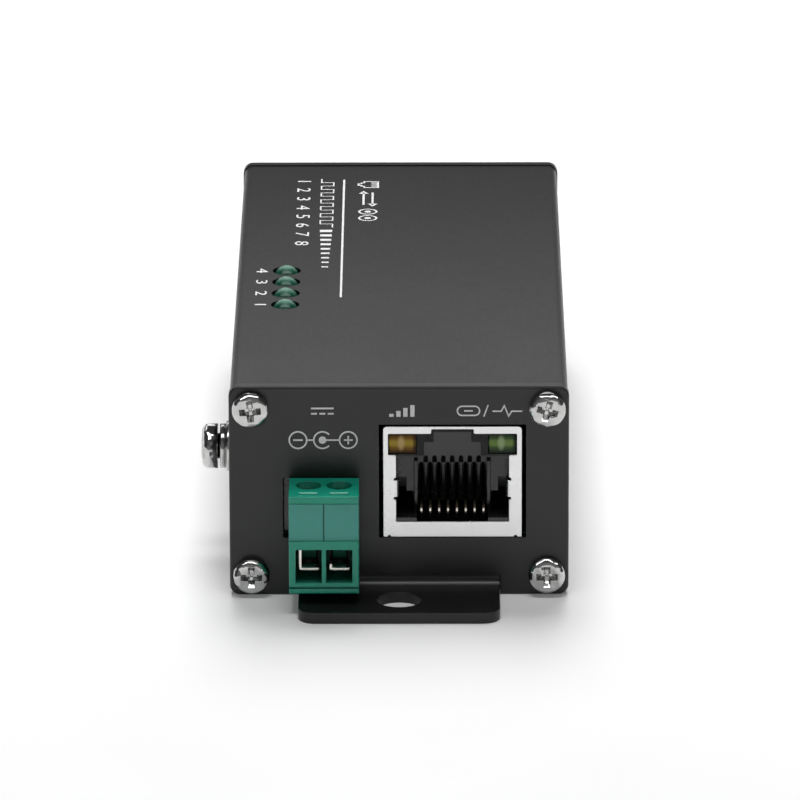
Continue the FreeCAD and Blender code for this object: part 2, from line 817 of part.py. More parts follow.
def plug_body():
    half = plug_width / 2
    front = plug_front_y
    body = block(plug_x - half, plug_x + half, front, plug_back_y, plug_low, plug_high)
    soft = edges_along(body, (0, 0, 1), lambda p: p.y < front + plug_edge_r)
    soft += edges_along(body, (1, 0, 0), lambda p: p.y < front + plug_edge_r)
    body = body.makeFillet(plug_edge_r, soft)
    nose_half = nose_width / 2
    nose = block(plug_x - nose_half, plug_x + nose_half, plug_back_y - overrun, plug_back_y + nose_length,
                 nose_low, nose_high)
    body = joined([body, nose])
    panel_low = wire_mouth_high + band_mid_t
    panel_high = plug_high - band_top_t
    x0, x1 = plug_x - half - overrun, plug_x + half + overrun
    split = panel_split_w / 2
    cuts = [
        block(x0, x1, front - overrun, front + panel_recess, panel_low, panel_high),
        block(plug_x - split, plug_x + split, front - overrun, front + panel_split_recess,
              panel_low, panel_high),
        block(x0, x1, front - overrun, front + panel_split_recess, panel_high - panel_top_groove,
              panel_high),
        block(x0, x1, front - overrun, front + groove_recess, groove_z - groove_w / 2,
              groove_z + groove_w / 2),
    ]
    ledge = plug_high - clamp_head_top_drop - clamp_head_h - clamp_head_gap
    cell_high = ledge - clamp_web_t
    mouth_half = wire_mouth_w / 2
    for x in pole_xs:
        cuts.append(block(x - mouth_half, x + mouth_half, front - overrun, web_front_y, wire_mouth_low,
                          wire_mouth_high))
        cuts.append(block(x - mouth_half, x + mouth_half, front + mouth_wall_t, web_front_y, wire_mouth_low,
                          cell_high))
        cuts.append(rod(driver_hole_r, (x, driver_y, ledge), (0, 0, 1), plug_high - ledge + overrun))
        cuts.append(rod(clamp_screw_r + running_gap, (x, driver_y, cell_high - overrun), (0, 0, 1),
                        clamp_web_t + 2 * overrun))
        strip_half = strip_w / 2 + fixed_gap
        strip = extrude_points([(x - strip_half, y, z) for y, z in plug_contact_outline(fixed_gap)],
                               (2 * strip_half, 0, 0))
        cuts.append(strip)
        outer = socket_half + strip_t + fixed_gap
        tube_start = web_front_y + socket_tube_start - fixed_gap
        cuts.append(block(x - outer, x + outer, tube_start, plug_back_y + nose_length + overrun,
                          socket_z - outer, socket_z + outer))
    body = body.cut(cuts)
    rib_y = front_y - label_rib_reach
    ribs = []
    for x in pole_xs:
        ribs.append(rod(label_rib_r, (x - label_rib_w / 2, rib_y, plug_high), (1, 0, 0), label_rib_w))
    return joined([body] + ribs)


def plug_screw(x):
    head_top = plug_high - clamp_head_top_drop
    head_low = head_top - clamp_head_h
    head = rod(clamp_head_r, (x, driver_y, head_low), (0, 0, 1), clamp_head_h)
    head = head.makeFillet(clamp_head_edge_r, edges_in_plane(head, 2, head_top, every))
    tip_z = busbar_z + strip_t + clamp_tip_gap
    shank = rod(clamp_screw_r, (x, driver_y, tip_z), (0, 0, 1), head_low - tip_z)
    slot = block(x - 2 * clamp_head_r, x + 2 * clamp_head_r, driver_y - clamp_slot_w / 2,
                 driver_y + clamp_slot_w / 2, head_top - clamp_slot_h, head_top + overrun)
    return joined([head, shank]).cut(slot)


def plug_clamp(x):
    """Rising clamp: a square cage with a threaded roof, drawn up by its screw."""
    half = cage_width / 2
    cage = block(x - half, x + half, cage_front_y, cage_back_y, cage_low, cage_high)
    hollow = block(x - half + cage_t, x + half - cage_t, cage_front_y - overrun, cage_back_y + overrun,
                   cage_low + cage_t, cage_high - cage_nut_t)
    cage = cage.cut(hollow)
    corners = edges_along(cage, (0, 1, 0), lambda p: abs(p.x - x) > half - cage_t / 2)
    cage = cage.makeFillet(cage_corner_r, corners)
    # the side walls stop short of the floor's front edge
    back = cage_front_y + cage_wall_set_back
    side_low = cage_low + cage_t
    cage = cage.cut(block(x + half - cage_t, x + half + overrun, cage_front_y - overrun, back,
                          side_low, cage_high - cage_nut_t))
    if x > plug_x:
        cage = cage.cut(block(x - half - overrun, x - half + cage_t, cage_front_y - overrun, back,
                              side_low + cage_stub_h, cage_high - cage_nut_t))
    return cage.cut(rod(clamp_screw_r + running_gap, (x, driver_y, cage_low), (0, 0, 1), cage_high))


# ---- status lights ------------------------------------------------------------------
def status_light(y):
    cylinder = rod(light_r, (light_x, y, light_base_z), (0, 0, 1), light_body_h)
    dome = Part.makeSphere(light_r, V(light_x, y, light_dome_z))
    flange = rod(light_flange_r, (light_x, y, light_base_z), (0, 0, 1), light_flange_h)
    return joined([cylinder, dome, flange])


def lead_spots():
    return [(light_x + side * lead_spacing / 2, y) for y in light_ys for side in (-1, 1)]


def status_light_leads():
    s = lead_size / 2
    low = board_low - pin_stick_out
    return group([block(x - s, x + s, y - s, y + s, low, light_base_z) for x, y in lead_spots()])


def light_spacer():
    posts = []
    for y in light_ys:
        posts.append(block(light_x - spacer_post_x / 2, light_x + spacer_post_x / 2,
                           y - spacer_post_y / 2, y + spacer_post_y / 2, board_top, light_base_z))
    posts.append(block(light_x - spacer_post_x / 2, light_x + spacer_post_x / 2,
                       light_ys[0], light_ys[-1], board_top, board_top + spacer_bar_h))
    half = lead_size / 2 + fixed_gap
    holes = [block(x - half, x + half, y - half, y + half, 0, case_height) for x, y in lead_spots()]
    return joined(posts).cut(holes)


# ---- optical transceiver --------------------------------------------------------------
def optic_pin_xs():
    middle = (optic_pin_count - 1) / 2
    return [(i - middle) * optic_pin_spacing for i in range(optic_pin_count)]


def optic_front_y():
    return optic_rear_y - optic_length


def optical_module():
    half = optic_width / 2
    front = optic_front_y()
    body = block(-half, half, front, optic_rear_y, optic_low, optic_low + optic_height)
    inner_corners = edges_along(body, (0, 0, 1), lambda p: p.y < front + optic_corner_r)
    body = body.makeFillet(optic_corner_r, inner_corners)
    body = body.makeChamfer(optic_top_edge, edges_along(body, (0, 1, 0), lambda p: p.z > fibre_z))
    inset = optic_foot_inset
    feet = []
    for x in (inset - half, half - inset):
        for y in (front + inset, optic_rear_y - inset):
            feet.append(rod(optic_foot_r, (x, y, board_top), (0, 0, 1), 2 * optic_foot_h))
    body = joined([body] + feet)
    pocket_r = barrel_spigot_r + barrel_pocket_gap
    bottom = optic_rear_y - barrel_spigot_length - barrel_pocket_gap
    depth = optic_rear_y - bottom + overrun
    return body.cut([rod(pocket_r, (x, bottom, fibre_z), (0, 1, 0), depth) for x in fibre_xs])


def optical_module_pins():
    low = board_low - pin_stick_out
    y = optic_front_y() + optic_pin_inset
    return group([rod(optic_pin_r, (x, y, low), (0, 0, 1), optic_low - low) for x in optic_pin_xs()])


def fibre_barrel(x):
    """Bayonet receptacle: flange in the end plate, tube, two lugs and a key slot."""
    tip = rear_y + barrel_reach
    spigot = rod(barrel_spigot_r, (x, optic_rear_y - barrel_spigot_length, fibre_z), (0, 1, 0),
                 barrel_spigot_length + barrel_flange_t / 2)
    flange = rod(barrel_flange_r, (x, optic_rear_y, fibre_z), (0, 1, 0), barrel_flange_t)
    tube = rod(barrel_r, (x, optic_rear_y, fibre_z), (0, 1, 0), tip - optic_rear_y)
    tube = tube.makeChamfer(barrel_tip_edge, edges_in_plane(tube, 1, tip, every))
    lug_y = tip - barrel_lug_back
    lug_half = barrel_r + barrel_lug_reach
    lugs = rod(barrel_lug_r, (x - lug_half, lug_y, fibre_z), (1, 0, 0), 2 * lug_half)
    barrel = joined([spigot, flange, tube, lugs])
    half_key = barrel_key_w / 2
    cuts = [
        rod(barrel_bore_r, (x, tip - barrel_bore_depth, fibre_z), (0, 1, 0), barrel_bore_depth + overrun),
        rod(sleeve_r + fixed_gap, (x, optic_rear_y - barrel_spigot_length - overrun, fibre_z), (0, 1, 0),
            tip - optic_rear_y),
        block(x - half_key, x + half_key, tip - barrel_key_depth, tip + overrun, fibre_z,
              fibre_z + barrel_r + overrun),
    ]
    return barrel.cut(cuts)


def ferrule_sleeve(x):
    start = optic_rear_y - sleeve_seat_depth
    sleeve = rod(sleeve_r, (x, start, fibre_z), (0, 1, 0), sleeve_length)
    bore_length = sleeve_length + 2 * overrun
    return sleeve.cut(rod(sleeve_bore_r, (x, start - overrun, fibre_z), (0, 1, 0), bore_length))


# ---- board and the parts on it ----------------------------------------------------------
def on_board(size, edge_break):
    x, y, w, l = size["x"], size["y"], size["w"], size["l"]
    body = block(x - w / 2, x + w / 2, y - l / 2, y + l / 2, board_top, board_top + size["h"])
    return body.makeChamfer(edge_break, edges_in_plane(body, 2, board_top + size["h"], every))


def with_leads(size, count, edge_break):
    """Moulded package with a row of gull-wing leads along both ends."""
    body = on_board(size, edge_break)
    pitch = size["w"] / (count + 1)
    leads = []
    for i in range(count):
        x = size["x"] - size["w"] / 2 + (i + 1) * pitch
        for side in (-1, 1):
            root = size["y"] + side * (size["l"] / 2 - lead_lap)
            toe = size["y"] + side * (size["l"] / 2 + lead_foot)
            leads.append(block(x - pitch / 5, x + pitch / 5, min(root, toe), max(root, toe),
                               board_top, board_top + lead_t))
    return joined([body] + leads)


def crystal_can():
    body = block(crystal["x"] - crystal["w"] / 2, crystal["x"] + crystal["w"] / 2,
                 crystal["y"] - crystal["l"] / 2, crystal["y"] + crystal["l"] / 2,
                 board_top, board_top + crystal["h"])
    body = body.makeFillet(crystal["w"] / 2 - crystal_end_gap, edges_along(body, (0, 0, 1), every))
    return body.makeFillet(can_edge_r, edges_in_plane(body, 2, board_top + crystal["h"], every))


def power_inductor():
    x, y, w, l = inductor["x"], inductor["y"], inductor["w"], inductor["l"]
    body = block(x - w / 2, x + w / 2, y - l / 2, y + l / 2, board_top, board_top + inductor["h"])
    body = body.makeChamfer(inductor_corner, edges_along(body, (0, 0, 1), every))
    return body.makeChamfer(can_edge_r, edges_in_plane(body, 2, board_top + inductor["h"], every))


def can_capacitor(size):
    bottom = can_base_h - can_gap
    can = rod(size["r"], (size["x"], size["y"], board_top + bottom), (0, 0, 1), size["h"] - bottom)
    can = can.makeFillet(can_edge_r, edges_in_plane(can, 2, board_top + size["h"], every))
    half = size["r"] + can_base_margin
    base = block(size["x"] - half, size["x"] + half, size["y"] - half, size["y"] + half,
                 board_top, board_top + can_base_h)
    base = base.makeChamfer(can_base_corner, edges_along(base, (0, 0, 1), lambda p: p.y > size["y"]))
    return joined([can, base])


def circuit_board():
    half_w = inner_half_w - board_side_gap
    y0 = shell_front_y + board_end_gap
    y1 = shell_rear_y - board_end_gap
    board = block(-half_w, half_w, y0, y1, board_low, board_top)
    holes = []

    def slot(x, y, half_x, half_y):
        gap = pin_hole_gap
        holes.append(block(x - half_x - gap, x + half_x + gap, y - half_y - gap, y + half_y + gap,
                           board_low - overrun, board_top + overrun))

    for x, y in lead_spots():
        slot(x, y, lead_size / 2, lead_size / 2)
    for x in pole_xs:
        slot(x, header_back_y + pin_drop_gap + pin_size / 2, pin_size / 2, pin_size / 2)
    for x in optic_pin_xs():
        slot(x, optic_front_y() + optic_pin_inset, optic_pin_r, optic_pin_r)
    for u, tail_d in contact_tails():
        slot(jack_x + u, front_y + tail_d + contact_t / 2, contact_t / 2, contact_t / 2)
    peg_y = front_y + (shield_peg_front + shield_peg_back) / 2
    half_peg = (shield_peg_back - shield_peg_front) / 2
    for side in (-1, 1):
        slot(jack_x + side * (jack_width - shield_t) / 2, peg_y, shield_t / 2, half_peg)
    return board.cut(holes)


def build():
    parts = {
        "housing_shell": housing_shell(),
        "front_end_plate": front_end_plate(),
        "rear_end_plate": rear_end_plate(),
        "front_plate_screws": plate_screws(-1),
        "rear_plate_screws": plate_screws(1),
        "ground_screw": ground_screw(),
        "ground_spring_washer": ground_spring_washer(),
        "ground_flat_washer": ground_flat_washer(),
        "circuit_board": circuit_board(),
        "jack_shield": jack_shield(),
        "jack_housing": jack_housing(),
        "jack_contacts": jack_contacts(),
        "jack_lamp_amber": jack_lamp(-1),
        "jack_lamp_green": jack_lamp(1),
        "power_header": power_header(),
        "power_header_pins": power_header_pins(),
        "plug_body": plug_body(),
        "plug_contacts": group([plug_contact(x) for x in pole_xs]),
        "plug_screw_left": plug_screw(pole_xs[0]),
        "plug_screw_right": plug_screw(pole_xs[1]),
        "plug_clamp_left": plug_clamp(pole_xs[0]),
        "plug_clamp_right": plug_clamp(pole_xs[1]),
        "status_light_leads": status_light_leads(),
        "light_spacer": light_spacer(),
        "optical_module": optical_module(),
        "optical_module_pins": optical_module_pins(),
        "fibre_barrel_transmit": fibre_barrel(fibre_xs[0]),
        "fibre_barrel_receive": fibre_barrel(fibre_xs[1]),
        "ferrule_sleeve_transmit": ferrule_sleeve(fibre_xs[0]),
        "ferrule_sleeve_receive": ferrule_sleeve(fibre_xs[1]),
        "network_transformer": with_leads(transformer, transformer_lead_count, moulded_edge),
        "converter_chip": with_leads(converter, converter_lead_count, chip_edge),
        "regulator_chip": with_leads(regulator, regulator_lead_count, chip_edge),
        "crystal_can": crystal_can(),
        "power_inductor": power_inductor(),
        "input_diode": on_board(diode, moulded_edge),
        "input_capacitor": can_capacitor(capacitor_in),
        "output_capacitor": can_capacitor(capacitor_out),
    }
    for i, y in enumerate(light_ys):
        parts["status_light_%d" % (i + 1)] = status_light(y)
    return parts


os.makedirs("parts", exist_ok=True)
for name, shape in build().items():
    print("%-26s solids %d valid %s volume %.2f" % (name, len(shape.Solids), shape.isValid(), shape.Volume))
    shape.exportStep("parts/%s.step" % name)
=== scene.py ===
import math

import bmesh
import bpy
from mathutils import Matrix, Vector


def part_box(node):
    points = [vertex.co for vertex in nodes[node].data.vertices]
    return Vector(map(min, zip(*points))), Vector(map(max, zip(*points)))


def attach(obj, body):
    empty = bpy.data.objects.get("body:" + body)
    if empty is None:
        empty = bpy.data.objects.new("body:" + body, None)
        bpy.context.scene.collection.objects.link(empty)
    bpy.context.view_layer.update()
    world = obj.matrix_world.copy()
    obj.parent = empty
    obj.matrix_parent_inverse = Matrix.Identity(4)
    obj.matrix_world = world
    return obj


# Looks of a fibre media converter: black extruded box, bent end plates, network
# socket, pluggable power terminal, status lights and two fibre barrels.
# Metres. +Z is up, -Y is the socket end, +Y the fibre end.

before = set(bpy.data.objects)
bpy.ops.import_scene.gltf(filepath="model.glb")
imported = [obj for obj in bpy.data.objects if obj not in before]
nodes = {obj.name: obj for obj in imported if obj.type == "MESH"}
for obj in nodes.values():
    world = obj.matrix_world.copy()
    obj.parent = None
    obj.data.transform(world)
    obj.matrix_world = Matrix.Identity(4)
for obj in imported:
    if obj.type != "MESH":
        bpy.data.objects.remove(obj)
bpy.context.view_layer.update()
scene = bpy.context.scene
MM = 0.001
CONTACT_PITCH = 1.02 * MM


# ---- places taken from the frame ---------------------------------------------
def middle(node):
    low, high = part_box(node)
    return (low + high) / 2


jack_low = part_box("jack_shield")[0]
jack_mid = middle("jack_shield")
jack_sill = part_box("jack_housing")[0].z
plug_low, plug_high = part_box("plug_body")
plug_mid = middle("plug_body")
plate_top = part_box("front_end_plate")[1].z
top_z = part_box("housing_shell")[1].z
front_y = jack_low.y
light_names = ["status_light_%d" % i for i in range(1, 5)]


# ---- shader graph helpers ------------------------------------------------------
class Graph:
    """Adds nodes to one shader tree and joins them."""

    def __init__(self, tree):
        self.tree = tree

    def add(self, kind, **settings):
        node = self.tree.nodes.new(kind)
        for key, value in settings.items():
            setattr(node, key, value)
        return node

    def feed(self, socket, value):
        if isinstance(value, bpy.types.NodeSocket):
            self.tree.links.new(value, socket)
        else:
            socket.default_value = value

    def math(self, operation, a, b=0.0):
        node = self.add("ShaderNodeMath", operation=operation)
        self.feed(node.inputs[0], a)
        self.feed(node.inputs[1], b)
        return node.outputs[0]

    def times(self, a, b):
        return self.math("MULTIPLY", a, b)

    def above(self, value, limit):
        return self.math("GREATER_THAN", value, limit)

    def below(self, value, limit):
        return self.math("LESS_THAN", value, limit)

    def aside(self, value, centre):
        """Distance from a centre, to either side."""
        return self.math("ABSOLUTE", self.math("SUBTRACT", value, centre))

    def vector(self, operation, a, b=(0.0, 0.0, 0.0)):
        node = self.add("ShaderNodeVectorMath", operation=operation)
        self.feed(node.inputs[0], a)
        self.feed(node.inputs[1], b)
        return node.outputs["Value" if operation == "DOT_PRODUCT" else "Vector"]

    def lean(self, normal, axis, amount):
        """Tips a normal along x, y or z (0, 1 or 2)."""
        tip = self.add("ShaderNodeCombineXYZ")
        self.feed(tip.inputs[axis], amount)
        return self.vector("NORMALIZE", self.vector("ADD", normal, tip.outputs[0]))

    def span(self, value, low, high, to_low=0.0, to_high=1.0, smooth=False):
        """Carries the run low to high over to another run, and holds its ends."""
        steps = "SMOOTHSTEP" if smooth else "LINEAR"
        node = self.add("ShaderNodeMapRange", interpolation_type=steps)
        for socket, number in zip(node.inputs, (value, low, high, to_low, to_high)):
            self.feed(socket, number)
        return node.outputs[0]

    def blend(self, factor, a, b):
        node = self.add("ShaderNodeMix", data_type="RGBA")
        self.feed(node.inputs[0], factor)
        self.feed(node.inputs[6], a)
        self.feed(node.inputs[7], b)
        return node.outputs[2]

    def noise(self, vector, scale, detail=2.0, roughness=0.5):
        node = self.add("ShaderNodeTexNoise")
        self.feed(node.inputs["Vector"], vector)
        self.feed(node.inputs["Scale"], scale)
        self.feed(node.inputs["Detail"], detail)
        self.feed(node.inputs["Roughness"], roughness)
        return node.outputs["Fac"]

    def bump(self, height, distance, normal):
        node = self.add("ShaderNodeBump")
        node.inputs["Strength"].default_value = 1.0
        node.inputs["Distance"].default_value = distance
        self.feed(node.inputs["Height"], height)
        self.feed(node.inputs["Normal"], normal)
        return node.outputs[0]

    def place(self):
        """Position on the piece, in metres."""
        return self.add("ShaderNodeTexCoord").outputs["Object"]

    def direction(self):
        """Direction looked in, for the world."""
        return self.add("ShaderNodeTexCoord").outputs["Generated"]

    def parts(self, vector):
        node = self.add("ShaderNodeSeparateXYZ")
        self.feed(node.inputs[0], vector)
        return node.outputs

    def use(self, group, **inputs):
        """Places a shader node group with its own values."""
        node = self.add("ShaderNodeGroup", node_tree=group)
        for key, value in inputs.items():
            self.feed(node.inputs[key], value)
        return node.outputs


def new_group(name, inputs, outputs):
    tree = bpy.data.node_groups.new(name, "ShaderNodeTree")
    for label, kind, value in inputs:
        socket = tree.interface.new_socket(label, in_out="INPUT",
                                           socket_type="NodeSocket" + kind)
        socket.default_value = value
    for label, kind in outputs:
        tree.interface.new_socket(label, in_out="OUTPUT", socket_type="NodeSocket" + kind)
    graph = Graph(tree)
    graph.given = graph.add("NodeGroupInput").outputs
    graph.result = graph.add("NodeGroupOutput").inputs
    return graph


# ---- effects shared by the finishes ----------------------------------------------
EDGE_SAMPLES = 4


def make_edge_rub():
    """Worn strip along outside edges, broken up by a patchy noise."""
    g = new_group("edge_rub", [("Width", "Float", 0.0002), ("Amount", "Float", 0.5)],
                  [("Mask", "Float")])
    least_bend, full_bend = 0.02, 0.22
    patch_scale, patch_detail, patch_roughness = 900.0, 4.0, 0.65
    patch_start, patch_full = 0.42, 0.68
    bevel = g.add("ShaderNodeBevel", samples=EDGE_SAMPLES)
    g.feed(bevel.inputs["Radius"], g.given["Width"])
    facing = g.add("ShaderNodeNewGeometry").outputs["Normal"]
    bend = g.math("SUBTRACT", 1.0, g.vector("DOT_PRODUCT", bevel.outputs[0], facing))
    strip = g.span(bend, least_bend, full_bend, smooth=True)
    cloud = g.noise(g.place(), patch_scale, patch_detail, patch_roughness)
    patches = g.span(cloud, patch_start, patch_full, smooth=True)
    g.feed(g.result["Mask"], g.times(g.times(strip, patches), g.given["Amount"]))
    return g.tree


def make_soft_edge():
    """Shading normal that turns softly over sharp edges."""
    g = new_group("soft_edge", [("Radius", "Float", 0.0001)], [("Normal", "Vector")])
    bevel = g.add("ShaderNodeBevel", samples=EDGE_SAMPLES)
    g.feed(bevel.inputs["Radius"], g.given["Radius"])
    g.feed(g.result["Normal"], bevel.outputs[0])
    return g.tree


def make_grain():
    """Fine even texture of two noises, from 0 to 1, for a bump and for gloss."""
    g = new_group("grain", [("Scale", "Float", 6000.0), ("Stretch", "Vector", (1.0, 1.0, 1.0))],
                  [("Height", "Float")])
    fine_share, coarse_share, coarse_scale = 0.65, 0.35, 0.31
    place = g.vector("MULTIPLY", g.place(), g.given["Stretch"])
    fine = g.noise(place, g.given["Scale"], 3.0, 0.6)
    coarse = g.noise(place, g.times(g.given["Scale"], coarse_scale), 2.0, 0.5)
    height = g.math("ADD", g.times(fine, fine_share), g.times(coarse, coarse_share))
    g.feed(g.result["Height"], height)
    return g.tree


def make_mottle():
    """Slow cloudy change over the surface, from 0 to 1."""
    g = new_group("mottle", [("Scale", "Float", 120.0)], [("Value", "Float")])
    cloud = g.noise(g.place(), g.given["Scale"], 4.0, 0.55)
    g.feed(g.result["Value"], g.span(cloud, 0.3, 0.7))
    return g.tree


edge_rub = make_edge_rub()
soft_edge = make_soft_edge()
grain = make_grain()
mottle = make_mottle()


# ---- finishes --------------------------------------------------------------------
def grey(value):
    return (value, value, value, 1.0)


def surface(name, colours, roughness, metallic=0.0, grain_scale=6000.0,
            stretch=(1.0, 1.0, 1.0), grain_height=0.000004, edge=0.0001, rub=None,
            rub_colour=None, cloud=150.0, ripple=None):
    """Finish with cloudy colour and gloss, a grain that catches the light, soft edges and wear.

    colours and roughness are pairs that the cloud runs between. rub is the worn strip's width
    and amount, ripple the scale and height of slow waves. Returns the material, its graph, its
    shader, and the sockets that a finish may build on.
    """
    grain_gloss = 0.03
    material = bpy.data.materials.new(name)
    material.use_nodes = True
    tree = material.node_tree
    tree.nodes.clear()
    g = Graph(tree)
    shader = g.add("ShaderNodeBsdfPrincipled")
    g.feed(g.add("ShaderNodeOutputMaterial").inputs["Surface"], shader.outputs[0])
    value = g.use(mottle, Scale=cloud)["Value"]
    height = g.use(grain, Scale=grain_scale, Stretch=stretch)["Height"]
    colour = g.blend(value, colours[0], colours[1])
    gloss = g.math("ADD", g.span(value, 0.0, 1.0, *roughness),
                   g.span(height, 0.3, 0.7, -grain_gloss, grain_gloss))
    if rub:
        width, amount = rub
        worn = g.use(edge_rub, Width=width, Amount=amount)["Mask"]
        colour = g.blend(worn, colour, rub_colour)
    g.feed(shader.inputs["Base Color"], colour)
    g.feed(shader.inputs["Roughness"], gloss)
    shader.inputs["Metallic"].default_value = metallic
    normal = g.use(soft_edge, Radius=edge)["Normal"]
    if ripple:
        wave_scale, wave_height = ripple
        normal = g.bump(g.noise(g.place(), wave_scale, 1.0, 0.4), wave_height, normal)
    normal = g.bump(height, grain_height, normal)
    g.feed(shader.inputs["Normal"], normal)
    return material, g, shader, {"colour": colour, "gloss": gloss, "height": height,
                                 "normal": normal}


def plain(*args, **kwargs):
    return surface(*args, **kwargs)[0]


def anodised_case():
    """Black anodised extrusion: satin, with faint lines that run the length of the box."""
    return plain("anodised_case", (grey(0.0062), grey(0.0074)), (0.38, 0.43),
                 grain_scale=5000.0, stretch=(1.0, 0.3, 1.0), grain_height=0.0000012,
                 edge=0.00008, rub=(0.00015, 0.15), rub_colour=grey(0.03), cloud=60.0)


def painted_plate():
    """Black painted plate with a very fine grain."""
    return plain("painted_plate", (grey(0.0080), grey(0.0098)), (0.30, 0.36),
                 grain_scale=7000.0, grain_height=0.000002, edge=0.0001, rub=(0.0002, 0.2),
                 rub_colour=grey(0.04), cloud=90.0)


# Bright plating over pressed steel, slightly uneven, so that reflections break up.
NICKEL = dict(colours=((0.50, 0.50, 0.495, 1), (0.60, 0.60, 0.595, 1)), roughness=(0.08, 0.14),
              metallic=1.0, grain_scale=9000.0, grain_height=0.000001, edge=0.00006,
              cloud=700.0, ripple=(650.0, 0.00048))


def rolled_metal(name, left, right, **look):
    """Turned part on the ground screw's axis, its rim rolled over towards both ends."""
    rim_power, rim_lean = 2.5, 1.7
    material, g, shader, made = surface(name, **look)
    along = g.span(g.parts(g.place())[0], left, right, -1.0, 1.0)
    roll = g.times(g.math("POWER", g.math("ABSOLUTE", along), rim_power), g.math("SIGN", along))
    g.feed(shader.inputs["Normal"], g.lean(made["normal"], 0, g.times(roll, rim_lean)))
    return material


def ground_screw_nickel():
    return rolled_metal("ground_screw_nickel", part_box("ground_screw")[0].x,
                        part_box("ground_spring_washer")[0].x, **NICKEL)


def washer_metal(node):
    low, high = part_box(node)
    return rolled_metal(node + "_steel", low.x, high.x,
                        colours=((0.48, 0.48, 0.475, 1), (0.56, 0.56, 0.555, 1)),
                        roughness=(0.12, 0.20), metallic=1.0, grain_scale=8000.0,
                        grain_height=0.000003, edge=0.0001, cloud=500.0)


def tinned_shield():
    """Bright tin over a rolled sheet, with faint lines along the roll."""
    return plain("tinned_shield", (grey(0.76), grey(0.82)), (0.26, 0.34), metallic=1.0,
                 grain_scale=6000.0, stretch=(0.2, 1.0, 1.0), grain_height=0.000002,
                 edge=0.0001, cloud=200.0)


def black_moulding():
    """Black glossy plastic. The socket's front face is drawn in a little, so it looks darker."""
    material, g, shader, made = surface(
        "black_moulding", (grey(0.015), grey(0.020)), (0.16, 0.22), grain_scale=5000.0,
        grain_height=0.000001, edge=0.0001, rub=(0.00012, 0.1), rub_colour=grey(0.03),
        cloud=300.0)
    shader.inputs["IOR"].default_value = 1.60
    face_depth, side_margin = 0.6 * MM, 1.0 * MM
    recess_half = 3.95 * MM
    shoulder_top = jack_sill + 9.75 * MM
    brow_low, brow_high = jack_sill + 9.4 * MM, jack_sill + 9.9 * MM
    face_lean, brow_lean, shoulder_lean = 0.09, 0.22, 0.11
    across, back, up = g.parts(g.place())
    face = g.times(g.below(back, jack_low.y + face_depth),
                   g.above(across, jack_low.x - side_margin))
    outer = g.above(g.aside(across, jack_mid.x), recess_half)
    shoulder = g.times(outer, g.below(up, shoulder_top))
    tilt = g.times(face, g.span(up, brow_low, brow_high, face_lean, brow_lean))
    lean = g.math("MAXIMUM", tilt, g.times(shoulder, shoulder_lean))
    g.feed(shader.inputs["Normal"], g.lean(made["normal"], 2, lean))
    return material


def terminal_plastic():
    """Green moulded plastic: a paler matt label panel, painted shade in grooves, painted
    highlights on the ribs.
    """
    material, g, shader, made = surface(
        "terminal_plastic", ((0.005, 0.300, 0.198, 1), (0.008, 0.335, 0.220, 1)), (0.30, 0.38),
        grain_scale=4500.0, grain_height=0.000003, edge=0.00012, rub=(0.00012, 0.25),
        rub_colour=(0.04, 0.34, 0.25, 1), cloud=300.0)
    panel_front, panel_back = plug_low.y + 0.22 * MM, plug_low.y + 0.28 * MM
    panel_foot, panel_head = plug_low.z + 6.32 * MM, plug_low.z + 10.88 * MM
    panel_pale, panel_light = (0.070, 0.350, 0.290, 1), (0.088, 0.395, 0.330, 1)
    panel_roughness = 0.62
    inner_half, inner_foot = 3.9 * MM, plug_low.z + 0.1 * MM
    groove_front, groove_back = plug_low.y + 0.29 * MM, plug_low.y + 0.7 * MM
    groove_head, sole_head = plug_low.z + 11.1 * MM, plug_low.z + 1.9 * MM
    painted_shade_amount, painted_shade_colour = 0.42, (0.0, 0.045, 0.030, 1)
    rib_start, rib_full = plug_high.z - 0.16 * MM, plug_high.z - 0.06 * MM
    rib_highlight_amount, rib_highlight_colour = 0.8, (0.16, 0.62, 0.46, 1)
    across, back, up = g.parts(g.place())
    panel = g.times(g.below(back, panel_back), g.above(back, panel_front))
    panel = g.times(panel, g.above(up, panel_foot))
    panel = g.times(panel, g.below(up, panel_head))
    matt = g.blend(made["height"], panel_pale, panel_light)
    inner = g.times(g.below(g.aside(across, plug_mid.x), inner_half), g.above(up, inner_foot))
    groove = g.times(g.below(up, groove_head), g.below(back, groove_back))
    sole = g.below(up, sole_head)
    # Painted shade: inside the wire openings the grooves and the sole are darkened in the
    # colour, where shade falls.
    painted_shade = g.times(inner, g.above(back, groove_front))
    painted_shade = g.times(painted_shade, g.math("MAXIMUM", groove, sole))
    # Painted highlight: the tops of the ribs are paled in the colour where light catches them.
    rib = g.times(inner, g.span(up, rib_start, rib_full, smooth=True))
    colour = g.blend(g.times(painted_shade, painted_shade_amount), made["colour"], painted_shade_colour)
    colour = g.blend(g.times(rib, rib_highlight_amount), colour, rib_highlight_colour)
    g.feed(shader.inputs["Base Color"], g.blend(panel, colour, matt))
    g.feed(shader.inputs["Roughness"],
           g.math("MAXIMUM", made["gloss"], g.times(panel, panel_roughness)))
    return material


